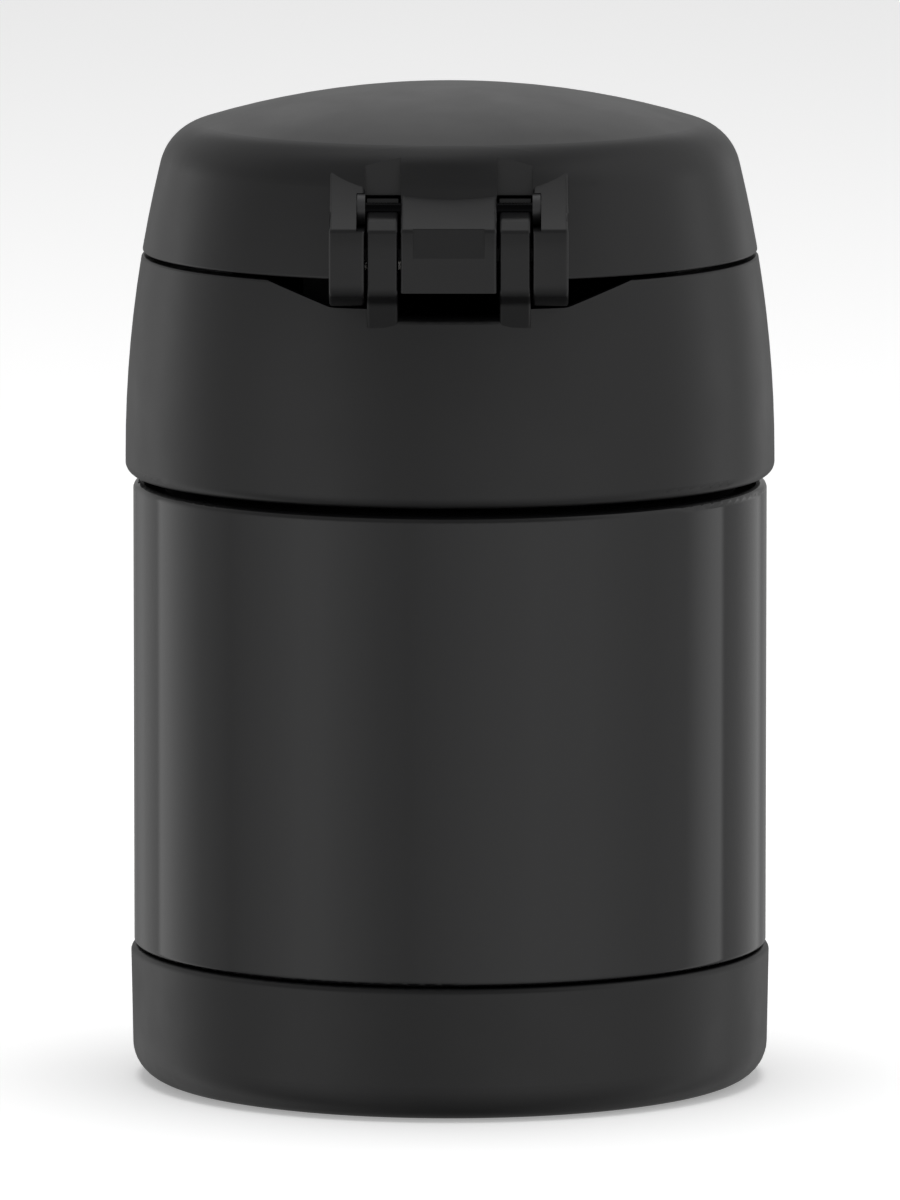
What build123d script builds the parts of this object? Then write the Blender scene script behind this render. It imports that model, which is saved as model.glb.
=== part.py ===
from build123d import *
from math import degrees, sqrt
import os

# Insulated food jar: a double-walled steel jar in a moulded base cup, a screw-on lid with a foam
# filled stopper, and a hinged cover over a tray that keeps a folding spoon.
# Frame: Z up, origin at the middle of the base's underside, hinge towards +Y, thumb tab towards -Y.

# Steel outer shell
shell_radius = 43.45
shell_wall = 0.6
shell_side = 63.8             # upright part that shows between base cup and lid
shell_foot_step = 2.05        # the foot is this much slimmer and stands in the base cup
shoulder_width = 6.95
shoulder_rise = 1.5           # the shoulder climbs this much on its way in to the neck
shoulder_bend = 1.2
shell_bend = 0.7
neck_bend = 1.0
neck_height = 18.0            # rim above the shoulder's outer edge

# Base cup
base_height = 18.4            # lip of the cup above the ground
base_wall = 2.2
base_taper = 0.35             # the foot is this much slimmer than the lip
base_corner = 5.0             # rounding where the wall turns under
base_lip_edge = 0.9
base_clearance = 0.3          # between the cup's wall and the shell's foot
base_groove = 0.2             # dark line between base cup and shell
base_floor = 3.4              # inside floor above the ground
foot_recess = 0.8             # the underside is hollow inside the foot ring
foot_ring_width = 9.5

# Shell bottom with its sealing dimple
dimple_radius = 8.0
dimple_rise = 1.4
dimple_slope = 2.0
port_radius = 1.5
seal_radius = 2.6
seal_drop = 1.0
seal_round = 0.6
weld_gap = 0.05               # between two round pieces that are welded or glued together

# Getter, in the vacuum
getter_radius = 5.2
getter_height = 2.6
getter_wall = 0.4
getter_offset = 21.0
getter_fill = 1.5

# Steel liner
liner_wall = 0.5
vacuum_gap = 5.45             # between shell and liner, on the side
vacuum_floor_gap = 6.5
liner_corner = 6.0
liner_dish_height = 8.5       # the bottom is welded to the wall this far up
liner_drop = 0.4              # the liner has narrowed to the mouth this far below the shoulder
liner_taper = 7.0             # height over which it narrows
mouth_gap = 1.8               # between the neck and the mouth inside it
liner_bend = 5.0
lip_bend = 0.8
foil_wall = 0.25
foil_gap = 0.3
foil_margin = 5.0             # from the foil's edges to the seam below and the taper above

# Two-start screw thread
thread_lead = 10.0
thread_starts = 2
thread_reach = 1.2            # height of a ridge above its root
thread_root = 2.2
thread_crest = 1.4
thread_drop = 12.4            # from the rim down to the middle of the neck ridge where it begins
neck_thread_turns = 0.75
lid_thread_turns = 0.5
lid_thread_lag = 0.25         # turns between the beginnings of the neck's and the lid's ridges
thread_gap = 0.3              # between the flanks that carry the lid
thread_clearance = 0.4        # crest to root
thread_sink = 0.2             # a ridge is rooted this deep in its wall

# Stopper: threaded skirt, plug and sealing groove
skirt_wall = 2.0
skirt_depth = 15.2            # below the rim
rim_gap = 0.4                 # between the stopper's plate and the jar's rim
plate_thickness = 2.0
plate_margin = 0.4            # between the plate and the collar around it
plug_clearance = 0.5
plug_depth = 10.4             # below the rim
plug_wall = 3.2
plug_floor = 1.6
groove_drop = 5.2             # from the rim down to the groove's lower flank
groove_height = 3.4
groove_depth = 1.4
foam_clearance = 0.3

# Gasket in the groove
gasket_clearance = 0.2
lip_height = 0.9
lip_reach = 0.65

# Collar, the outside of the lid
shoulder_gap = 1.1            # between the shell's shoulder and the collar
collar_proud = 1.05           # the collar stands out from the shell by this much
collar_height = 30.1
collar_lean = 2.3             # the bowed outside comes in by this much on its way up
collar_straight = 2.5         # upright stretch above the bottom edge
collar_bottom_edge = 1.7
collar_top_edge = 0.35
collar_wall = 2.2
ledge_thickness = 1.6
ledge_width = 6.0
thumb_relief_depth = 1.1
thumb_relief_radius = 16.0

# Cover
seam_gap = 0.5                # between collar and cover
cover_step = 0.07             # its foot lies this far inside the collar's edge
cover_height = 22.85
cover_taper = 0.172           # at its foot the side leans in by this much per unit of height
cover_bow = 186.0             # radius of the side's bow
cover_corner = 7.5
cover_dome = 117.5
cover_wall = 2.2
cover_edge = 0.35

# Thumb tab at the front of the cover
tab_width = 22.0
tab_proud = 4.07
tab_height = 4.6
tab_edge = 1.2

# Hinge pin and its bushes
hinge_inset = 2.63            # the pin lies this far inside the cover's foot
hinge_rise = 9.5              # the pin above the cover's lower edge
pin_radius = 1.0
pin_fit = 0.03                # pin to bores that turn with it
pin_running = 0.05            # pin to the knuckles it turns in
pin_end_gap = 0.25
pin_chamfer = 0.25
bush_flange_radius = 2.1
bush_flange = 1.05
bush_flange_gap = 0.25        # to the knuckle beside it
bush_radius = 1.3
bush_length = 2.4
notch_depth = 1.1             # how far the notch for the bush goes into the ear
notch_half = 2.2

# Tongue and ears on the cover: one outline seen from the side
block_proud = 4.87            # their outer face stands out from the cover's foot
block_depth = 9.7             # from that face to the back inside the cover
block_kink = 2.0              # the outer face turns in this far below the pin
block_ease = 3.6              # below the kink the face bows out to the vertical over this height
block_ease_in = 0.4
block_waist_in = 6.8          # the sloping face above is slightly hollow and passes through here
block_waist_up = 1.35
block_root_in = 12.2          # where it ends inside the cover's wall
block_root_up = 5.25
block_round = 0.8             # along the kink
block_edge = 0.4              # along both sides
ear_chin = 2.2                # rounding at the lower end of the ears' faces
swing_clearance = 0.3         # between the ears' round bottoms and the collar below
tongue_half = 6.45
tongue_drop = 10.5            # lower end of the tongue below the pin
tongue_shell = 1.8
tongue_core = 2.0             # plastic kept round the pin
ear_thickness = 4.75
panel_half = 4.8              # shallow relief on the tongue's face
panel_depth = 0.25
panel_height = 4.3
panel_overlap = 0.5           # the relief runs this far past the kink
pocket_clearance = 0.8        # from the knuckles' backs to the pocket's back wall
pocket_wall = 2.0
window_rise = 1.7             # upper edge of the pockets' windows above the pin

# Knuckles on the collar: open hooks that the pin snaps into
knuckle_side_gap = 0.35       # to the tongue
ear_side_gap = 0.3            # to the ears
knuckle_thickness = 4.2
knuckle_step = 0.5            # their face lies behind that of tongue and ears
knuckle_kink = 2.2
knuckle_lip_out = 4.1         # the lip in front of the pin
knuckle_lip_down = 0.8
knuckle_lip_round = 4.0
knuckle_chin = 2.5            # above the cut-away's floor
knuckle_chin_round = 1.6
knuckle_neck_in = 2.3
knuckle_neck_up = 1.0
knuckle_root = 2.4            # below the cut-away's floor
knuckle_neck_round = 2.2
knuckle_eye = 1.75            # outer radius of the hook that holds the pin
knuckle_mouth = 125.0         # the hook is open from the lip up to this angle, from +Y to +Z
knuckle_mouth_reach = 3.6

# Cut-away of the collar's top edge round the hinge
scoop_depth = 3.2
scoop_side = 8.7              # width of each sloping end
scoop_tuck = 0.1              # the flat floor ends this far inside the ears' outer faces
scoop_round = 3.0
notch_drop = 1.0              # the cut goes deeper below the tongue
notch_round = 1.1

# Spoon tray
tray_thickness = 1.6
tray_margin = 0.3
rim_clearance = 0.7           # between the tray's rim and the cover round it
rim_wall = 1.3
rim_edge = 0.45
rim_over_seam = 0.9
rear_rim_gap = 0.4            # the rim's rear part ends this far below the cut-away
rear_rim_y = 24.0
clip_wall = 1.8
clip_length = 7.0

# Folding spoon
spoon_y = -5.0
spoon_bowl_x = -13.0
spoon_bowl_length = 41.0
spoon_bowl_width = 29.0
spoon_bowl_depth = 6.5
spoon_bowl_round = 3.9
spoon_wall = 1.0
spoon_draft = 32.0
spoon_pivot_reach = 40.0      # from the middle of the bowl to the rivet
spoon_neck_width = 9.0
spoon_eye_radius = 5.2
spoon_leaf = 1.2
handle_width = 12.0
handle_length = 58.0
handle_thickness = 2.4
handle_edge = 0.6
handle_gap = 0.1
rivet_radius = 1.6
rivet_head = 2.9
rivet_head_height = 0.7
spoon_clearance = 0.3

# Radii that follow from the sizes above
shell_foot_radius = shell_radius - shell_foot_step
base_bore = shell_foot_radius + base_clearance
base_top_radius = base_bore + base_wall
base_foot_radius = base_top_radius - base_taper
foot_ring_radius = base_foot_radius - foot_ring_width
neck_radius = shell_radius - shoulder_width
liner_radius = shell_radius - shell_wall - vacuum_gap
mouth_outer = neck_radius - shell_wall - mouth_gap
mouth_radius = mouth_outer - liner_wall
plug_radius = mouth_radius - plug_clearance
plug_bore = plug_radius - plug_wall
groove_root = plug_radius - groove_depth
skirt_bore = neck_radius + thread_reach + thread_clearance
skirt_radius = skirt_bore + skirt_wall
collar_radius = shell_radius + collar_proud
collar_top_radius = collar_radius - collar_lean
ledge_bore = collar_top_radius - collar_wall - ledge_width
cover_radius = collar_top_radius - cover_step
rim_radius = cover_radius - cover_wall * sqrt(1 + cover_taper**2) - rim_clearance
tab_reach = cover_radius + tab_proud

# Heights
shell_step = base_height + base_groove
shoulder_height = shell_step + shell_side
rim_height = shoulder_height + neck_height
rim_under = rim_height - liner_wall
liner_floor = base_floor + shell_wall + vacuum_floor_gap
liner_seam = liner_floor + liner_dish_height
liner_neck = shoulder_height - liner_drop
liner_shoulder = liner_neck - liner_taper
thread_start = rim_height - thread_drop
skirt_bottom = rim_height - skirt_depth
plug_bottom = rim_height - plug_depth
groove_bottom = rim_height - groove_drop
groove_top = groove_bottom + groove_height
plate_under = rim_height + rim_gap
plate_top = plate_under + plate_thickness
ledge_top = plate_top + ledge_thickness
tray_floor = ledge_top + tray_thickness
collar_bottom = shoulder_height + shoulder_gap
collar_top = collar_bottom + collar_height
cover_bottom = collar_top + seam_gap
rim_top = cover_bottom + rim_over_seam
scoop_floor = collar_top - scoop_depth
notch_floor = scoop_floor - notch_drop

# Hinge: places seen from the side, then along the pin
hinge_y = cover_radius - hinge_inset
hinge_z = cover_bottom + hinge_rise
block_face = cover_radius + block_proud
block_inside = block_face - block_depth
pocket_y = block_inside - pocket_clearance
window_top = hinge_z + window_rise
tongue_bottom = hinge_z - tongue_drop
knuckle_face = block_face - knuckle_step
ear_swing = hinge_z - scoop_floor - swing_clearance
knuckle_inner = tongue_half + knuckle_side_gap
knuckle_outer = knuckle_inner + knuckle_thickness
ear_inner = knuckle_outer + ear_side_gap
ear_outer = ear_inner + ear_thickness
flange_inner = knuckle_outer + bush_flange_gap
seat_end = flange_inner + bush_flange + bush_length + pin_running
pin_half_length = seat_end - pin_end_gap
scoop_floor_half = ear_outer - scoop_tuck
scoop_half = scoop_floor_half + scoop_side

# Spoon
spoon_pivot_x = spoon_bowl_x + spoon_pivot_reach
shank_z = tray_floor + spoon_bowl_depth
handle_z = shank_z + handle_gap


def collar_inside(height):
    # The collar's inner wall is a cone that runs parallel to the chord of its outside
    lean = collar_lean / collar_height
    return collar_radius - collar_wall - lean * (height - collar_bottom)


def ring(shapes, radius, height):
    # The edge that runs round the axis at this radius and height
    return shapes.sort_by_distance((0, radius, height))[0]


def turned(*points):
    # A closed outline in the plane through the axis, ready to revolve
    with BuildSketch(Plane.XZ) as outline:
        with BuildLine():
            Polyline(*points, close=True)
        make_face()
    return outline


def pressed_sheet(points, bends, wall):
    # Section of a drawn steel shell: its outside runs through the points, its metal lies to the left
    with BuildSketch(Plane.XZ) as strip:
        with BuildLine():
            FilletPolyline(*points, radius=bends)
            offset(amount=wall, side=Side.LEFT)
        make_face()
    return strip


def thread_ridge(root, outward, start, turns):
    # One helical ridge: root is the wall it stands on, outward is 1 on a neck and -1 in a bore
    sunk = root - outward * thread_sink
    crest = root + outward * thread_reach
    with BuildPart() as ridge:
        with BuildLine() as path:
            Helix(pitch=thread_lead, height=thread_lead * turns, radius=root, center=(0, 0, start))
        with BuildSketch(Plane.XZ):
            with BuildLine():
                Polyline(
                    (sunk, start - thread_root / 2),
                    (root, start - thread_root / 2),
                    (crest, start - thread_crest / 2),
                    (crest, start + thread_crest / 2),
                    (root, start + thread_root / 2),
                    (sunk, start + thread_root / 2),
                    close=True,
                )
            make_face()
        sweep(path=path.wires()[0], is_frenet=True)
    return ridge


def cover_solid(inset):
    # The cover's outside, or the same form set in by a wall: bowed side, round corner, dome
    slant = sqrt(1 + cover_taper**2)
    foot = (cover_radius - inset / slant, cover_bottom - inset * cover_taper / slant)
    sweep_angle = degrees(2 * cover_height / cover_bow)
    with BuildPart() as form:
        with BuildSketch(Plane.XZ) as section:
            with BuildLine():
                side = JernArc(foot, (-cover_taper, 1), cover_bow - inset, sweep_angle)
                Polyline(side @ 1, (0, (side @ 1).Y), (0, foot[1]), foot)
            make_face()
            with Locations((0, cover_bottom + cover_height - cover_dome)):
                Circle(cover_dome - inset, mode=Mode.INTERSECT)
            fillet(section.vertices().sort_by(Axis.X)[-2], cover_corner - inset)
        revolve(axis=Axis.Z)
    return form


def across(inner, outer):
    # Middle and width of the two bands that lie between inner and outer on either side of X = 0
    return [(-(inner + outer) / 2, 0), ((inner + outer) / 2, 0)], outer - inner


os.makedirs("parts", exist_ok=True)

# Base cup
base_section = turned(
    (0, foot_recess),
    (foot_ring_radius, foot_recess),
    (foot_ring_radius, 0),
    (base_foot_radius, 0),
    (base_top_radius, base_height),
    (base_bore, base_height),
    (base_bore, base_floor),
    (0, base_floor),
)
with BuildPart() as base_cup:
    add(base_section.sketch)
    revolve(axis=Axis.Z)
    fillet(ring(base_cup.edges(), base_foot_radius, 0), base_corner)
    fillet(ring(base_cup.edges(), base_top_radius, base_height), base_lip_edge)
base_cup.part.label = "base_cup"
export_step(base_cup.part, "parts/base_cup.step")

# Outer shell: drawn steel, stepped in at the foot, with a shoulder and a threaded neck
shell_foot = base_floor + shell_wall
shell_section = pressed_sheet(
    [
        (shell_foot_radius, shell_foot),
        (shell_foot_radius, shell_step),
        (shell_radius, shell_step),
        (shell_radius, shoulder_height),
        (neck_radius, shoulder_height + shoulder_rise),
        (neck_radius, rim_under),
    ],
    [shell_bend, shell_bend, shoulder_bend, neck_bend],
    shell_wall,
)
neck_ridge = thread_ridge(neck_radius, 1, thread_start, neck_thread_turns)
with BuildPart() as outer_shell:
    add(shell_section.sketch)
    revolve(axis=Axis.Z)
    with PolarLocations(0, thread_starts):
        add(neck_ridge.part)
outer_shell.part.label = "outer_shell"
export_step(outer_shell.part, "parts/outer_shell.step")

# Shell bottom: a disc that the shell's wall stands on, raised in the middle round the sealing port
dimple_top = base_floor + dimple_rise
bottom_section = turned(
    (port_radius, dimple_top),
    (dimple_radius, dimple_top),
    (dimple_radius + dimple_slope, base_floor),
    (shell_foot_radius, base_floor),
    (shell_foot_radius, shell_foot),
    (dimple_radius + dimple_slope, shell_foot),
    (dimple_radius, dimple_top + shell_wall),
    (port_radius, dimple_top + shell_wall),
)
with BuildPart() as shell_bottom:
    add(bottom_section.sketch)
    revolve(axis=Axis.Z)
shell_bottom.part.label = "shell_bottom"
export_step(shell_bottom.part, "parts/shell_bottom.step")

# Sealing bead: the drop of solder that closes the port once the air is out
seal_section = turned(
    (0, dimple_top - seal_drop),
    (seal_radius, dimple_top - seal_drop),
    (seal_radius, dimple_top),
    (port_radius - weld_gap, dimple_top),
    (port_radius - weld_gap, dimple_top + shell_wall),
    (0, dimple_top + shell_wall),
)
with BuildPart() as sealing_bead:
    add(seal_section.sketch)
    revolve(axis=Axis.Z)
    fillet(ring(sealing_bead.edges(), seal_radius, dimple_top - seal_drop), seal_round)
sealing_bead.part.label = "sealing_bead"
export_step(sealing_bead.part, "parts/sealing_bead.step")

# Getter: a small steel dish on the shell bottom, with the tablet that keeps the vacuum
getter_plane = Plane.XY.offset(shell_foot)
with BuildPart(getter_plane) as getter_dish:
    with Locations((getter_offset, 0)):
        Cylinder(getter_radius, getter_height, align=(Align.CENTER, Align.CENTER, Align.MIN))
        with Locations((0, 0, getter_wall)):
            Cylinder(
                getter_radius - getter_wall,
                getter_height,
                align=(Align.CENTER, Align.CENTER, Align.MIN),
                mode=Mode.SUBTRACT,
            )
getter_dish.part.label = "getter_dish"
export_step(getter_dish.part, "parts/getter_dish.step")

with BuildPart(getter_plane.offset(getter_wall)) as getter_tablet:
    with Locations((getter_offset, 0)):
        Cylinder(
            getter_radius - getter_wall - weld_gap,
            getter_fill,
            align=(Align.CENTER, Align.CENTER, Align.MIN),
        )
getter_tablet.part.label = "getter_tablet"
export_step(getter_tablet.part, "parts/getter_tablet.step")

# Liner wall: from the welded seam up through the mouth, its lip folded over the shell's neck
liner_section = pressed_sheet(
    [
        (liner_radius, liner_seam),
        (liner_radius, liner_shoulder),
        (mouth_outer, liner_neck),
        (mouth_outer, rim_under),
        (neck_radius, rim_under),
    ],
    [liner_bend, liner_bend, lip_bend],
    liner_wall,
)
with BuildPart() as liner_wall_part:
    add(liner_section.sketch)
    revolve(axis=Axis.Z)
liner_wall_part.part.label = "inner_liner"
export_step(liner_wall_part.part, "parts/inner_liner.step")

# Liner bottom: a dished cup, butt-welded to the wall
dish_section = pressed_sheet(
    [(0, liner_floor), (liner_radius, liner_floor), (liner_radius, liner_seam)],
    [liner_corner],
    liner_wall,
)
with BuildPart() as liner_bottom:
    add(dish_section.sketch)
    revolve(axis=Axis.Z)
liner_bottom.part.label = "liner_bottom"
export_step(liner_bottom.part, "parts/liner_bottom.step")

# Foil wrapped round the liner, which keeps radiant heat in
foil_inside = liner_radius + foil_gap
foil_low = liner_seam + foil_margin
foil_high = liner_shoulder - foil_margin
foil_section = turned(
    (foil_inside, foil_low),
    (foil_inside + foil_wall, foil_low),
    (foil_inside + foil_wall, foil_high),
    (foil_inside, foil_high),
)
with BuildPart() as liner_foil:
    add(foil_section.sketch)
    revolve(axis=Axis.Z)
liner_foil.part.label = "liner_foil"
export_step(liner_foil.part, "parts/liner_foil.step")

# Stopper: top plate, threaded skirt outside the neck, plug inside the mouth
plate_radius = collar_inside(plate_top) - plate_margin
stopper_section = turned(
    (0, plug_bottom),
    (plug_radius, plug_bottom),
    (plug_radius, groove_bottom),
    (groove_root, groove_bottom),
    (groove_root, groove_top),
    (plug_radius, groove_top),
    (plug_radius, plate_under),
    (skirt_bore, plate_under),
    (skirt_bore, skirt_bottom),
    (skirt_radius, skirt_bottom),
    (skirt_radius, plate_under),
    (plate_radius, plate_under),
    (plate_radius, plate_top),
    (plug_bore, plate_top),
    (plug_bore, plug_bottom + plug_floor),
    (0, plug_bottom + plug_floor),
)
# The lid's ridges run just below the neck's, which hold them down
flank_lean = (thread_root - thread_crest) / thread_reach
width_at_mesh = thread_root - flank_lean * (thread_reach + thread_clearance) / 2
lid_thread_start = thread_start - width_at_mesh - thread_gap + thread_lead * lid_thread_lag
lid_ridge = thread_ridge(skirt_bore, -1, lid_thread_start, lid_thread_turns)
with BuildPart() as lid_stopper:
    add(stopper_section.sketch)
    revolve(axis=Axis.Z)
    fillet(ring(lid_stopper.edges(), plug_radius, plug_bottom), plug_floor)
    with PolarLocations(0, thread_starts, start_angle=360 * lid_thread_lag):
        add(lid_ridge.part)
lid_stopper.part.label = "lid_stopper"
export_step(lid_stopper.part, "parts/lid_stopper.step")

# Gasket: a silicone ring with two lips that press on the mouth
gasket_inside = groove_root + gasket_clearance
gasket_outside = mouth_radius - gasket_clearance
gasket_low = groove_bottom + gasket_clearance
gasket_high = groove_top - gasket_clearance
gasket_section = turned(
    (gasket_inside, gasket_low),
    (gasket_outside, gasket_low),
    (gasket_outside, gasket_low + lip_height),
    (gasket_outside - lip_reach, gasket_low + lip_height),
    (gasket_outside - lip_reach, gasket_high - lip_height),
    (gasket_outside, gasket_high - lip_height),
    (gasket_outside, gasket_high),
    (gasket_inside, gasket_high),
)
with BuildPart() as lid_gasket:
    add(gasket_section.sketch)
    revolve(axis=Axis.Z)
lid_gasket.part.label = "lid_gasket"
export_step(lid_gasket.part, "parts/lid_gasket.step")

# Foam disc inside the plug
foam_bottom = plug_bottom + plug_floor
with BuildPart(Plane.XY.offset(foam_bottom)) as lid_foam:
    Cylinder(
        plug_bore - foam_clearance,
        ledge_top - foam_bottom,
        align=(Align.CENTER, Align.CENTER, Align.MIN),
    )
lid_foam.part.label = "lid_foam"
export_step(lid_foam.part, "parts/lid_foam.step")

# Collar: bowed outside, ledge that is welded to the stopper's plate, knuckles at the back
knuckle_at, knuckle_width = across(knuckle_inner, knuckle_outer)
with BuildSketch(Plane.XZ) as collar_section:
    with BuildLine():
        outside = Line(
            (collar_radius, collar_bottom),
            (collar_radius, collar_bottom + collar_straight),
        )
        bow = TangentArc(outside @ 1, (collar_top_radius, collar_top), tangent=(0, 1))
        Polyline(
            bow @ 1,
            (collar_inside(collar_top), collar_top),
            (collar_inside(ledge_top), ledge_top),
            (ledge_bore, ledge_top),
            (ledge_bore, plate_top),
            (collar_inside(plate_top), plate_top),
            (collar_inside(collar_bottom), collar_bottom),
            outside @ 0,
        )
    make_face()

# The top edge dips round the hinge, so that the ears can swing in
with BuildSketch(Plane.XZ) as scoop_section:
    with BuildLine():
        Polyline(
            (-scoop_half, collar_top),
            (-scoop_floor_half, scoop_floor),
            (scoop_floor_half, scoop_floor),
            (scoop_half, collar_top),
            (scoop_half, cover_bottom + cover_height),
            (-scoop_half, cover_bottom + cover_height),
            close=True,
        )
    make_face()
    fillet(scoop_section.vertices().group_by(Axis.Y)[0], scoop_round)

# A knuckle: flush with the ears, necked into the collar, open hook round the pin
with BuildSketch(Plane.YZ) as knuckle_section:
    with BuildLine():
        kink = (knuckle_face - block_ease_in, hinge_z - knuckle_kink)
        face_top = (knuckle_face, hinge_z - knuckle_kink - block_ease)
        chin = (knuckle_face, scoop_floor + knuckle_chin)
        neck = (knuckle_face - knuckle_neck_in, scoop_floor + knuckle_neck_up)
        lip = (hinge_y + knuckle_lip_out, hinge_z - knuckle_lip_down)
        TangentArc(face_top, kink, tangent=(0, 1))
        Polyline(
            face_top,
            chin,
            neck,
            (collar_top_radius, scoop_floor - knuckle_root),
            (collar_inside(scoop_floor), scoop_floor - knuckle_root),
            (collar_inside(scoop_floor), scoop_floor),
            (block_inside, scoop_floor + collar_wall),
            (block_inside, hinge_z),
            (hinge_y, hinge_z),
            lip,
            kink,
        )
    make_face()
    fillet(knuckle_section.vertices().sort_by_distance(kink)[0], block_round)
    fillet(knuckle_section.vertices().sort_by_distance(chin)[0], knuckle_chin_round)
    fillet(knuckle_section.vertices().sort_by_distance(neck)[0], knuckle_neck_round)
    fillet(knuckle_section.vertices().sort_by_distance(lip)[0], knuckle_lip_round)
    with Locations((hinge_y, hinge_z)):
        Circle(knuckle_eye)
        Circle(pin_radius + pin_running, mode=Mode.SUBTRACT)
    with BuildLine():
        top = PolarLine((hinge_y, hinge_z), knuckle_mouth_reach, knuckle_mouth)
        Polyline(top @ 1, (lip[0], (top @ 1).Y), lip, top @ 0)
    make_face(mode=Mode.SUBTRACT)

with BuildPart() as knuckle:
    with BuildSketch(Plane.YZ):
        add(knuckle_section.sketch_local)
    extrude(amount=knuckle_width / 2, both=True)
    outer_edges = knuckle.edges().filter_by_position(Axis.Y, collar_top_radius, block_face)
    sides = outer_edges.filter_by(Axis.X, reverse=True).group_by(Axis.X)
    fillet(sides[0] + sides[-1], block_edge)

with BuildPart() as lid_collar:
    add(collar_section.sketch)
    revolve(axis=Axis.Z)
    fillet(ring(lid_collar.edges(), collar_radius, collar_bottom), collar_bottom_edge)
    fillet(ring(lid_collar.edges(), collar_top_radius, collar_top), collar_top_edge)
    add(scoop_section.sketch)
    extrude(amount=block_face, dir=(0, 1, 0), mode=Mode.SUBTRACT)
    with Locations((0, block_face, notch_floor)):
        Box(
            2 * knuckle_inner,
            2 * (block_face - ledge_bore),
            collar_height,
            align=(Align.CENTER, Align.CENTER, Align.MIN),
            mode=Mode.SUBTRACT,
        )
    notch_edges = lid_collar.edges().filter_by_position(Axis.Z, notch_floor, notch_floor)
    fillet(notch_edges.sort_by(Axis.Y)[-1], notch_round)
    with Locations(*knuckle_at):
        add(knuckle.part)
    with Locations((0, -collar_top_radius - thumb_relief_radius + thumb_relief_depth, collar_top)):
        Sphere(thumb_relief_radius, mode=Mode.SUBTRACT)
lid_collar.part.label = "lid_collar"
export_step(lid_collar.part, "parts/lid_collar.step")

# Spoon tray: a disc on the collar's ledge, with a rim that centres the cover
tray_radius = collar_inside(tray_floor) - tray_margin
clip_x = spoon_pivot_x - 2 * spoon_eye_radius
clip_gap = spoon_neck_width + 2 * spoon_clearance
with BuildPart(Plane.XY.offset(ledge_top)) as spoon_tray:
    Cylinder(tray_radius, tray_thickness, align=(Align.CENTER, Align.CENTER, Align.MIN))
    with BuildSketch(Plane.XY.offset(tray_floor)):
        Circle(rim_radius)
        Circle(rim_radius - rim_wall, mode=Mode.SUBTRACT)
    extrude(amount=rim_top - tray_floor)
    fillet(ring(spoon_tray.edges(), rim_radius, rim_top), rim_edge)
    with Locations((0, rear_rim_y, notch_floor - rear_rim_gap - ledge_top)):
        Box(
            2 * tray_radius,
            tray_radius,
            cover_height,
            align=(Align.CENTER, Align.MIN, Align.MIN),
            mode=Mode.SUBTRACT,
        )
    with BuildSketch(Plane.XY.offset(tray_floor)):
        with Locations((clip_x, spoon_y)):
            Rectangle(clip_length, clip_gap + 2 * clip_wall)
            Rectangle(clip_length, clip_gap, mode=Mode.SUBTRACT)
    extrude(amount=shank_z - tray_floor)
spoon_tray.part.label = "spoon_tray"
export_step(spoon_tray.part, "parts/spoon_tray.step")

# Folding spoon: bowl with a flat shank, lying in the tray
with BuildPart() as spoon_bowl:
    with BuildSketch(Plane.XY.offset(shank_z)):
        with Locations((spoon_bowl_x, spoon_y)):
            Ellipse(spoon_bowl_length / 2, spoon_bowl_width / 2)
    extrude(amount=-spoon_bowl_depth, taper=spoon_draft)
    fillet(spoon_bowl.edges().group_by(Axis.Z)[0], spoon_bowl_round)
    offset(amount=-spoon_wall, openings=spoon_bowl.faces().sort_by(Axis.Z)[-1])
    with BuildSketch(Plane.XY.offset(shank_z)):
        with BuildLine():
            bowl_end = spoon_bowl_x + spoon_bowl_length / 2 - spoon_wall
            Polyline(
                (bowl_end - spoon_wall, spoon_y - spoon_neck_width / 2),
                (spoon_pivot_x, spoon_y - spoon_neck_width / 2),
                (spoon_pivot_x, spoon_y + spoon_neck_width / 2),
                (bowl_end - spoon_wall, spoon_y + spoon_neck_width / 2),
                close=True,
            )
        make_face()
        with Locations((spoon_pivot_x, spoon_y)):
            Circle(spoon_eye_radius)
            Circle(rivet_radius + pin_fit, mode=Mode.SUBTRACT)
    extrude(amount=-spoon_leaf)
spoon_bowl.part.label = "spoon_bowl"
export_step(spoon_bowl.part, "parts/spoon_bowl.step")

# Handle, folded back over the bowl
with BuildPart(Plane.XY.offset(handle_z)) as spoon_handle:
    with BuildSketch(Plane.XY.offset(handle_z)):
        with Locations((spoon_pivot_x - (handle_length - handle_width) / 2, spoon_y)):
            SlotOverall(handle_length, handle_width)
        with Locations((spoon_pivot_x, spoon_y)):
            Circle(rivet_radius + pin_fit, mode=Mode.SUBTRACT)
    extrude(amount=handle_thickness)
    chamfer(spoon_handle.edges().group_by(Axis.Z)[-1].filter_by(GeomType.LINE), handle_edge)
spoon_handle.part.label = "spoon_handle"
export_step(spoon_handle.part, "parts/spoon_handle.step")

# Rivet that the handle folds about
rivet_top = handle_z + handle_thickness
rivet_bottom = shank_z - spoon_leaf
with BuildPart(Plane.XY.offset(rivet_bottom - rivet_head_height)) as spoon_rivet:
    with Locations((spoon_pivot_x, spoon_y)):
        Cylinder(
            rivet_radius,
            rivet_top - rivet_bottom + 2 * rivet_head_height,
            align=(Align.CENTER, Align.CENTER, Align.MIN),
        )
        Cylinder(rivet_head, rivet_head_height, align=(Align.CENTER, Align.CENTER, Align.MIN))
        with Locations((0, 0, rivet_top - rivet_bottom + rivet_head_height)):
            Cylinder(rivet_head, rivet_head_height, align=(Align.CENTER, Align.CENTER, Align.MIN))
spoon_rivet.part.label = "spoon_rivet"
export_step(spoon_rivet.part, "parts/spoon_rivet.step")

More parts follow.
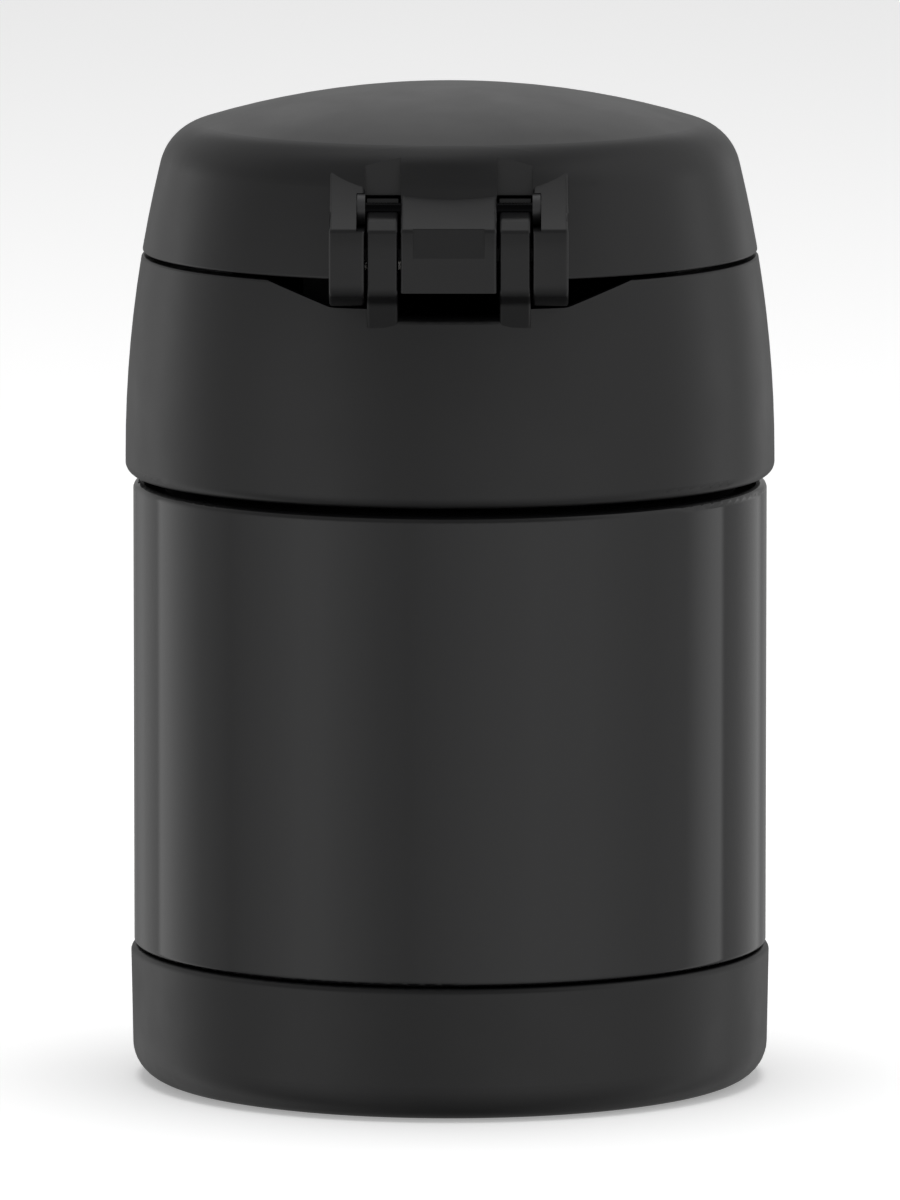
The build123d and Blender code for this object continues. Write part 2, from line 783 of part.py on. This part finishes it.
# Hinge blocks of the cover: outline seen from the side, the same for tongue and ears
kink_height = hinge_z - block_kink
swing_face = hinge_z - sqrt(ear_swing**2 - (block_face - hinge_y) ** 2)
panel_top = kink_height + panel_overlap
swing_inside = hinge_z - sqrt(ear_swing**2 - (block_inside - hinge_y) ** 2)
ear_at, ear_width = across(ear_inner, ear_outer)
pocket_at, pocket_width = across(tongue_half, ear_inner)
notch_end = ear_inner + notch_depth
notch_at, notch_width = across(ear_inner, notch_end)
seat_at, seat_width = across(notch_end, seat_end)
with BuildSketch(Plane.YZ) as block_section:
    with BuildLine():
        swing = ThreePointArc(
            (block_inside, swing_inside),
            (hinge_y, hinge_z - ear_swing),
            (block_face, swing_face),
        )
        face = Line(swing @ 1, (block_face, kink_height - block_ease))
        ease = TangentArc(face @ 1, (block_face - block_ease_in, kink_height), tangent=(0, 1))
        slope = ThreePointArc(
            ease @ 1,
            (block_face - block_waist_in, hinge_z + block_waist_up),
            (block_face - block_root_in, hinge_z + block_root_up),
        )
        Polyline(slope @ 1, (block_inside, window_top), swing @ 0)
    make_face()
    fillet(block_section.vertices().sort_by_distance(ease @ 1)[0], block_round)

with BuildPart() as ear:
    with BuildSketch(Plane.YZ):
        add(block_section.sketch_local)
    extrude(amount=ear_width / 2, both=True)
    face_end = (0, block_face, swing_face)
    fillet(ear.edges().filter_by(Axis.X).sort_by_distance(face_end)[0], ear_chin)
    fillet(ear.faces().filter_by(Axis.X).edges(), block_edge)

with BuildPart() as tongue:
    with BuildSketch(Plane.YZ):
        add(block_section.sketch_local)
    extrude(amount=tongue_half, both=True)
    fillet(tongue.faces().filter_by(Axis.X).edges(), block_edge)

# Walls that close the pockets towards the compartment
cover_form = cover_solid(0)
cover_hollow = cover_solid(cover_wall)
with BuildPart() as pocket_backs:
    add(cover_form.part)
    with Locations((0, pocket_y - pocket_wall, window_top)):
        Box(
            2 * (ear_inner + pocket_wall / 2),
            pocket_wall * 2,
            cover_height,
            align=(Align.CENTER, Align.MIN, Align.MIN),
            mode=Mode.INTERSECT,
        )

# Cover: dome, thumb tab, tongue and ears
with BuildPart() as cover:
    add(cover_form.part)
    fillet(ring(cover.edges(), cover_radius, cover_bottom), cover_edge)
    with BuildSketch(Plane.XY.offset(cover_bottom)):
        with BuildLine():
            Polyline(
                (-tab_width / 2, 0),
                (-tab_width / 2, -tab_reach),
                (tab_width / 2, -tab_reach),
                (tab_width / 2, 0),
                close=True,
            )
        make_face()
    extrude(amount=tab_height)
    fillet(cover.faces().sort_by(Axis.Y)[0].edges(), tab_edge)
    add(cover_hollow.part, mode=Mode.SUBTRACT)
    add(pocket_backs.part)
    with Locations(*ear_at):
        add(ear.part)
    add(tongue.part)
    # Tongue: cut short above the collar, hollow from below, with a shallow relief on its face
    with Locations((0, block_inside, tongue_bottom)):
        Box(
            2 * tongue_half,
            block_face,
            ear_swing,
            align=(Align.CENTER, Align.MIN, Align.MAX),
            mode=Mode.SUBTRACT,
        )
    with BuildSketch(Plane.YZ):
        with BuildLine():
            Polyline(
                (hinge_y + pin_radius, tongue_bottom),
                (block_face - tongue_shell, tongue_bottom),
                (block_face - tongue_shell, kink_height - tongue_shell),
                (hinge_y + tongue_core, kink_height - tongue_shell),
                close=True,
            )
        make_face()
    extrude(amount=tongue_half - tongue_shell, both=True, mode=Mode.SUBTRACT)
    with BuildSketch(Plane.YZ):
        with BuildLine():
            Polyline(
                (block_face, panel_top - panel_height),
                (block_face - block_ease_in - panel_depth, kink_height),
                (block_face - block_ease_in - 2 * panel_depth, panel_top),
                (block_face, panel_top),
                close=True,
            )
        make_face()
    extrude(amount=panel_half, both=True, mode=Mode.SUBTRACT)
    # Pockets and windows for the knuckles
    for x, _ in pocket_at:
        with Locations((x, pocket_y, cover_bottom - ear_swing)):
            Box(
                pocket_width,
                block_face,
                2 * cover_height,
                align=(Align.CENTER, Align.MIN, Align.MIN),
                mode=Mode.SUBTRACT,
            )
        with Locations((x, pocket_y - 2 * pocket_wall, window_top)):
            Box(
                pocket_width,
                block_face,
                cover_height,
                align=(Align.CENTER, Align.MIN, Align.MAX),
                mode=Mode.SUBTRACT,
            )
    # Bore for the pin, seats for the bushes and the notches that their flanges show in
    with BuildSketch(Plane.YZ):
        with Locations((hinge_y, hinge_z)):
            Circle(pin_radius + pin_fit)
    extrude(amount=tongue_half, both=True, mode=Mode.SUBTRACT)
    for x, _ in seat_at:
        with BuildSketch(Plane.YZ.offset(x)):
            with Locations((hinge_y, hinge_z)):
                Circle(bush_radius + pin_fit)
        extrude(amount=seat_width / 2, both=True, mode=Mode.SUBTRACT)
    for x, _ in notch_at:
        with Locations((x, hinge_y - notch_half, hinge_z)):
            Box(
                notch_width,
                block_face,
                2 * notch_half,
                align=(Align.CENTER, Align.MIN, Align.CENTER),
                mode=Mode.SUBTRACT,
            )
cover.part.label = "cover"
export_step(cover.part, "parts/cover.step")

# Hinge pin, held by the cover and cradled in the collar's knuckles
with BuildPart() as hinge_pin:
    with BuildSketch(Plane.YZ):
        with Locations((hinge_y, hinge_z)):
            Circle(pin_radius)
    extrude(amount=pin_half_length, both=True)
    chamfer(hinge_pin.edges().filter_by(GeomType.CIRCLE), pin_chamfer)
hinge_pin.part.label = "hinge_pin"
export_step(hinge_pin.part, "parts/hinge_pin.step")

# Flanged bushes, one in each ear
flange_at, flange_width = across(flange_inner, flange_inner + bush_flange)
sleeve_at, sleeve_width = across(flange_inner + bush_flange, flange_inner + bush_flange + bush_length)
with BuildPart() as hinge_bushes:
    for x, _ in flange_at:
        with BuildSketch(Plane.YZ.offset(x)):
            with Locations((hinge_y, hinge_z)):
                Circle(bush_flange_radius)
        extrude(amount=flange_width / 2, both=True)
    for x, _ in sleeve_at:
        with BuildSketch(Plane.YZ.offset(x)):
            with Locations((hinge_y, hinge_z)):
                Circle(bush_radius)
        extrude(amount=sleeve_width / 2, both=True)
    with BuildSketch(Plane.YZ):
        with Locations((hinge_y, hinge_z)):
            Circle(pin_radius + pin_fit)
    extrude(amount=ear_outer, both=True, mode=Mode.SUBTRACT)
hinge_bushes.part.label = "hinge_bushes"
export_step(hinge_bushes.part, "parts/hinge_bushes.step")
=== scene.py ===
import math
import bpy
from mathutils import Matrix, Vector

# Insulated food jar: enamelled steel body, moulded base cup, collar and hinged cover
print("stage 1: load the frame")
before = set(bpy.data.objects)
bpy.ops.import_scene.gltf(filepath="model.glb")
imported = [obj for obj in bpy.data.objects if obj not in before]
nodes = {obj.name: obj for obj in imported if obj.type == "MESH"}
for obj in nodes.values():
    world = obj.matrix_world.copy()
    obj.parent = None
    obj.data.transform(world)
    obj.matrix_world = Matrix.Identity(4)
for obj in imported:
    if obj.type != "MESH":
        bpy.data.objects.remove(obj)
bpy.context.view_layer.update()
mm = 0.001


def toLinear(hexText):
    # "#2a2a2c" to linear red, green, blue, alpha
    channels = [int(hexText[i:i + 2], 16) / 255 for i in (1, 3, 5)]
    return [c / 12.92 if c <= 0.04045 else ((c + 0.055) / 1.055) ** 2.4 for c in channels] + [1]


def addNode(tree, kind, settings=None, links=None):
    # One node with its settings and its incoming links; sockets are named or numbered
    node = tree.nodes.new(kind)
    for key, value in (settings or {}).items():
        if isinstance(key, int) or key in node.inputs:
            node.inputs[key].default_value = value
        else:
            setattr(node, key, value)
    for key, socket in (links or {}).items():
        tree.links.new(socket, node.inputs[key])
    return node


def startMaterial(name):
    material = bpy.data.materials.new(name)
    material.use_nodes = True
    material.node_tree.nodes.clear()
    return material, material.node_tree


def place(tree):
    # Position on the piece itself, in metres
    return addNode(tree, "ShaderNodeTexCoord").outputs["Object"]


noiseLow, noiseHigh = 0.3, 0.7      # where nearly all of a noise pattern's values lie
grainDepth = 0.2                    # depth of a pattern as a share of its width
peelDepth = 0.02
lineDepth = 0.05


def finishOff(tree, look, tint, relief, depthMm, stuff):
    # Tint steers colour and roughness, relief the bump; stuff is what sets the shader apart
    colour = addNode(tree, "ShaderNodeMix", {
        "data_type": "RGBA", 6: toLinear(look["dark"]), 7: toLinear(look["light"]),
    }, {0: tint.outputs["Fac"]})
    rough = addNode(tree, "ShaderNodeMapRange", {
        "From Min": noiseLow, "From Max": noiseHigh, "To Min": look["roughLow"], "To Max": look["roughHigh"],
    }, {"Value": tint.outputs["Fac"]})
    bump = addNode(tree, "ShaderNodeBump", {
        "Strength": look["bump"], "Distance": depthMm * mm,
    }, {"Height": relief.outputs["Fac"]})
    shader = addNode(tree, "ShaderNodeBsdfPrincipled", stuff, {
        "Base Color": colour.outputs[2], "Roughness": rough.outputs["Result"],
        "Normal": bump.outputs["Normal"],
    })
    addNode(tree, "ShaderNodeOutputMaterial", {}, {"Surface": shader.outputs["BSDF"]})


def mouldedPlastic(name, look):
    # Injection moulded polypropylene from a spark-eroded mould: near black, an even fine grain
    # that breaks up the highlights, and slightly glossier spots where hands have rubbed it.
    # The real grain is about 0.1 mm; it is drawn two to three times as coarse, so that it shows.
    # Silicone, foam and the getter's powder are made the same way with their own values.
    material, tree = startMaterial(name)
    where = place(tree)
    grain = addNode(tree, "ShaderNodeTexNoise", {
        "Scale": 1 / (look["grainMm"] * mm), "Detail": 3, "Roughness": 0.6,
    }, {"Vector": where})
    cloud = addNode(tree, "ShaderNodeTexNoise", {
        "Scale": 1 / (look["cloudMm"] * mm), "Detail": 4, "Roughness": 0.55,
    }, {"Vector": where})
    finishOff(tree, look, cloud, grain, look["grainMm"] * grainDepth, {"IOR": 1.49})
    return material


def stovedEnamel(name, look):
    # Stoved enamel on drawn steel: glossy black with the faintest orange peel
    material, tree = startMaterial(name)
    where = place(tree)
    peel = addNode(tree, "ShaderNodeTexNoise", {
        "Scale": 1 / (look["peelMm"] * mm), "Detail": 2, "Roughness": 0.4,
    }, {"Vector": where})
    cloud = addNode(tree, "ShaderNodeTexNoise", {
        "Scale": 1 / (look["cloudMm"] * mm), "Detail": 3, "Roughness": 0.5,
    }, {"Vector": where})
    finishOff(tree, look, cloud, peel, look["peelMm"] * peelDepth, {"IOR": 1.5})
    return material


def turnedSteel(name, look):
    # Stainless steel polished on a spindle: bright, with fine rings that run round the axis.
    # The real lines are a few hundredths of a millimetre apart; they are drawn coarser, so that they show.
    # The pin and the foil are made the same way with their own values; the pin's near-black tone is partly
    # blackened steel and partly painted shade for the deep shade in the hinge windows.
    material, tree = startMaterial(name)
    squeeze = addNode(tree, "ShaderNodeMapping", {"Scale": look["stretch"]}, {"Vector": place(tree)})
    rings = addNode(tree, "ShaderNodeTexNoise", {
        "Scale": 1 / (look["lineMm"] * mm), "Detail": 4, "Roughness": 0.65,
    }, {"Vector": squeeze.outputs["Vector"]})
    finishOff(tree, look, rings, rings, look["lineMm"] * lineDepth, {"Metallic": 1})
    return material


print("stage 2: materials")
moulded = {
    "baseCup": {"stuff": "mouldedPolypropylene",
                "dark": "#09090a", "light": "#0d0d0e", "grainMm": 0.25, "cloudMm": 9,
                "roughLow": 0.32, "roughHigh": 0.4, "bump": 0.2},
    "collar": {"stuff": "mouldedPolypropylene",
               "dark": "#0c0c0d", "light": "#101011", "grainMm": 0.22, "cloudMm": 12,
               "roughLow": 0.3, "roughHigh": 0.37, "bump": 0.18},
    "cover": {"stuff": "mouldedPolypropylene",
              "dark": "#0c0c0d", "light": "#101011", "grainMm": 0.22, "cloudMm": 12,
              "roughLow": 0.28, "roughHigh": 0.34, "bump": 0.18},
    "lidInside": {"stuff": "mouldedPolypropylene",
                  "dark": "#1a1a1b", "light": "#202021", "grainMm": 0.3, "cloudMm": 8,
                  "roughLow": 0.34, "roughHigh": 0.46, "bump": 0.15},
    "handle": {"stuff": "mouldedPolypropylene",
               "dark": "#1e1e1f", "light": "#262627", "grainMm": 0.2, "cloudMm": 6,
               "roughLow": 0.3, "roughHigh": 0.42, "bump": 0.15},
    "bush": {"stuff": "mouldedAcetal", "dark": "#2c2c2d", "light": "#363637", "grainMm": 0.15, "cloudMm": 2,
             "roughLow": 0.3, "roughHigh": 0.4, "bump": 0.1},
    "silicone": {"stuff": "mouldedSilicone",
                 "dark": "#8d9092", "light": "#9a9d9f", "grainMm": 0.3, "cloudMm": 5,
                 "roughLow": 0.5, "roughHigh": 0.62, "bump": 0.15},
    "foam": {"stuff": "closedCellFoam", "dark": "#e4e1d4", "light": "#f0ede2", "grainMm": 0.8, "cloudMm": 6,
             "roughLow": 0.8, "roughHigh": 0.95, "bump": 0.6},
    "getterPowder": {"stuff": "pressedPowder",
                     "dark": "#6f6f70", "light": "#8a8a8b", "grainMm": 0.15, "cloudMm": 1.5,
                     "roughLow": 0.8, "roughHigh": 0.95, "bump": 0.5},
}
steels = {
    "linerSteel": {"stuff": "polishedStainlessSteel",
                   "dark": "#b9b7b3", "light": "#d2d0cc", "lineMm": 1.5, "stretch": (0.02, 0.02, 6),
                   "roughLow": 0.2, "roughHigh": 0.32, "bump": 0.2},
    "bottomSteel": {"stuff": "brushedStainlessSteel",
                    "dark": "#a9a8a6", "light": "#c4c3c1", "lineMm": 2, "stretch": (1, 1, 1),
                    "roughLow": 0.3, "roughHigh": 0.42, "bump": 0.1},
    "spoonSteel": {"stuff": "polishedStainlessSteel",
                   "dark": "#c2c0bc", "light": "#dad8d4", "lineMm": 1.0, "stretch": (0.15, 3, 1),
                   "roughLow": 0.16, "roughHigh": 0.26, "bump": 0.12},
    # hinge pin: its near-black colour is partly blackened steel and partly painted shade, standing in for
    # the shade inside the windows beside the tongue
    "pinSteel": {"stuff": "blackenedSteelPaintedShade",
                 "dark": "#0e0e0f", "light": "#161617", "lineMm": 0.6, "stretch": (4, 0.3, 0.3),
                 "roughLow": 0.22, "roughHigh": 0.32, "bump": 0.1},
    "foilSteel": {"stuff": "rolledAluminiumFoil",
                  "dark": "#d6d6d8", "light": "#ececee", "lineMm": 3, "stretch": (1, 1, 1),
                  "roughLow": 0.15, "roughHigh": 0.3, "bump": 0.5},
}
enamel = {"dark": "#0f0f10", "light": "#131314", "peelMm": 1.2, "cloudMm": 20,
          "roughLow": 0.06, "roughHigh": 0.08, "bump": 0.05}

finishes = {name: mouldedPlastic(look["stuff"] + "-" + name, look) for name, look in moulded.items()}
finishes.update({name: turnedSteel(look["stuff"] + "-" + name, look) for name, look in steels.items()})
finishes["enamel"] = stovedEnamel("stovedEnamelOnSteel", enamel)

# Which finish each piece wears
wears = {
    "base_cup": "baseCup", "outer_shell": "enamel",
    "shell_bottom": "bottomSteel", "sealing_bead": "bottomSteel",
    "getter_dish": "bottomSteel", "getter_tablet": "getterPowder",
    "inner_liner": "linerSteel", "liner_bottom": "linerSteel", "liner_foil": "foilSteel",
    "lid_stopper": "lidInside", "lid_gasket": "silicone", "lid_foam": "foam",
    "lid_collar": "collar", "spoon_tray": "lidInside",
    "spoon_bowl": "spoonSteel", "spoon_handle": "handle", "spoon_rivet": "spoonSteel",
    "cover": "cover", "hinge_pin": "pinSteel", "hinge_bushes": "bush",
}
for node, finish in wears.items():
    for slot in nodes[node].material_slots:
        slot.material = finishes[finish]

print("stage 3: studio")
studio = {
    "floorHalf": 6.0, "floorTone": "#f4f4f4",
    "floorGlow": 0.3,                            # for the camera only, it lights nothing
    "wallTop": -2, "ceilingEdge": 24,            # the walls turn into the ceiling here, in degrees of height
    "ceilingTop": 50, "overheadEdge": 72,        # and the ceiling into what hangs overhead
    "skirting": -8, "groundEdge": -85, "groundLevel": 0.25,      # and it dims to this level straight below
}
# Brightness of the walls by bearing, in degrees from the hinge side, clockwise seen from above:
# wide soft panels at the sides, with one crisp edge each, and a dim wall behind the jar
walls = {
    -180: 0.25, -163: 0.26, -151: 0.48, -134: 0.51, -131: 0.98, -124: 0.94, -103: 0.6, -87: 0.52,
    -56: 0.92, -48: 0.93, -25: 0.65, -15: 0.59, 12: 0.78, 32: 0.88, 52: 0.86, 78: 0.68, 96: 0.63,
    104: 0.87, 111: 1.02, 117: 1.04, 119: 0.45, 129: 0.44, 152: 0.62, 158: 0.31, 180: 0.25,
}
# The same for the ceiling, with a lit panel on the right, and for what hangs straight overhead
ceiling = {
    -180: 0.62, -158: 0.34, -122: 0.45, -85: 0.37, -40: 0.36, 0: 0.31, 40: 0.38, 72: 0.76, 105: 0.68,
    140: 0.42, 158: 0.36, 180: 0.62,
}
overhead = {-180: 0.68, -125: 0.68, -90: 0.38, 0: 0.2, 90: 0.38, 125: 0.36, 180: 0.68}


def whiteFloor(look):
    # Matt white paper sweep: shows the jar's soft shadow and nothing else; clear from below
    material, tree = startMaterial("mattePaper-sweep")
    paper = addNode(tree, "ShaderNodeBsdfDiffuse", {"Color": toLinear(look["floorTone"])})
    glow = addNode(tree, "ShaderNodeEmission", {"Strength": look["floorGlow"]})
    rays = addNode(tree, "ShaderNodeLightPath")
    off = addNode(tree, "ShaderNodeEmission", {"Strength": 0})
    shown = addNode(tree, "ShaderNodeMixShader", {}, {
        0: rays.outputs["Is Camera Ray"], 1: off.outputs[0], 2: glow.outputs[0],
    })
    both = addNode(tree, "ShaderNodeAddShader", {}, {0: paper.outputs[0], 1: shown.outputs[0]})
    clear = addNode(tree, "ShaderNodeBsdfTransparent")
    side = addNode(tree, "ShaderNodeNewGeometry")
    final = addNode(tree, "ShaderNodeMixShader", {}, {
        0: side.outputs["Backfacing"], 1: both.outputs[0], 2: clear.outputs[0],
    })
    addNode(tree, "ShaderNodeOutputMaterial", {}, {"Surface": final.outputs[0]})
    return material


floorMesh = bpy.data.meshes.new("paperSweep")
half = studio["floorHalf"]
corners = [(-half, -half, 0), (half, -half, 0), (half, half, 0), (-half, half, 0)]
floorMesh.from_pydata(corners, [], [(0, 1, 2, 3)])
floor = bpy.data.objects.new("paperSweep", floorMesh)
bpy.context.scene.collection.objects.link(floor)
floorMesh.materials.append(whiteFloor(studio))
floor.visible_glossy = False      # reflections show the studio's walls instead


def studioAir(look):
    # Dim walls and ceiling with lit panels, for light and reflections; the camera itself sees plain white
    world = bpy.data.worlds.new("studioAir")
    bpy.context.scene.world = world
    world.use_nodes = True
    tree = world.node_tree
    tree.nodes.clear()
    heading = addNode(tree, "ShaderNodeTexCoord").outputs["Generated"]
    parts = addNode(tree, "ShaderNodeSeparateXYZ", {}, {"Vector": heading})
    mirrored = addNode(tree, "ShaderNodeMath", {"operation": "MULTIPLY", 1: -1}, {0: parts.outputs["X"]})
    turn = addNode(tree, "ShaderNodeMath", {"operation": "ARCTAN2"}, {
        0: mirrored.outputs[0], 1: parts.outputs["Y"],
    })
    rise = addNode(tree, "ShaderNodeMath", {"operation": "ARCSINE"}, {0: parts.outputs["Z"]})
    height = addNode(tree, "ShaderNodeMath", {"operation": "DEGREES"}, {0: rise.outputs[0]}).outputs[0]
    bearing = addNode(tree, "ShaderNodeMapRange", {
        "From Min": -math.pi, "From Max": math.pi,
    }, {"Value": turn.outputs[0]})
    bands = []
    ends = {-180: 0, 180: -1}      # the two stops that a ramp has from the start
    for stops in (walls, ceiling, overhead):
        ramp = addNode(tree, "ShaderNodeValToRGB", {}, {"Fac": bearing.outputs["Result"]})
        points = ramp.color_ramp.elements
        for degree, level in stops.items():
            point = points[ends[degree]] if degree in ends else points.new((degree + 180) / 360)
            point.color = (level, level, level, 1)
        bands.append(ramp.outputs["Color"])
    ground = addNode(tree, "ShaderNodeMapRange", {
        "From Min": look["groundEdge"], "From Max": look["skirting"], "To Min": look["groundLevel"],
    }, {"Value": height}).outputs["Result"]
    shade = bands[0]
    edges = (("wallTop", "ceilingEdge"), ("ceilingTop", "overheadEdge"))
    for (first, last), band in zip(edges, bands[1:]):
        blend = addNode(tree, "ShaderNodeMapRange", {
            "interpolation_type": "SMOOTHSTEP", "From Min": look[first], "From Max": look[last],
        }, {"Value": height})
        mixed = addNode(tree, "ShaderNodeMix", {"data_type": "RGBA"}, {
            0: blend.outputs["Result"], 6: shade, 7: band,
        })
        shade = mixed.outputs[2]
    lit = addNode(tree, "ShaderNodeBackground", {}, {"Color": shade, "Strength": ground})
    seen = addNode(tree, "ShaderNodeBackground", {"Color": (1, 1, 1, 1), "Strength": 1})
    rays = addNode(tree, "ShaderNodeLightPath")
    backdrop = addNode(tree, "ShaderNodeMixShader", {}, {
        0: rays.outputs["Is Camera Ray"], 1: lit.outputs[0], 2: seen.outputs[0],
    })
    addNode(tree, "ShaderNodeOutputWorld", {}, {"Surface": backdrop.outputs[0]})


studioAir(studio)

softbox = {"height": 1.5, "side": 1.0, "glow": 4.2}      # metres; glow is the radiance
lamp = bpy.data.lights.new("overheadSoftbox", "AREA")
lamp.size = softbox["side"]
lamp.energy = softbox["glow"] * softbox["side"] ** 2 * math.pi
holder = bpy.data.objects.new("overheadSoftbox", lamp)
holder.location = (0, 0, softbox["height"])
holder.visible_camera = False
holder.visible_glossy = False
bpy.context.scene.collection.objects.link(holder)

print("stage 4: camera")
shot = {"spot": (-0.008, 2.143, 0.3365), "target": (0, 0, 0.0658),
        "lens": 472, "sensor": 36, "near": 0.05, "far": 50}
lens = bpy.data.cameras.new("shopCamera")
lens.lens = shot["lens"]
lens.sensor_width = shot["sensor"]
lens.clip_start, lens.clip_end = shot["near"], shot["far"]
camera = bpy.data.objects.new("shopCamera", lens)
camera.location = shot["spot"]
aim = Vector(shot["target"]) - Vector(shot["spot"])
camera.rotation_euler = aim.to_track_quat("-Z", "Y").to_euler()
bpy.context.scene.collection.objects.link(camera)
bpy.context.scene.camera = camera
bpy.context.scene.view_settings.view_transform = "Standard"

print("stage 5: scene set up")
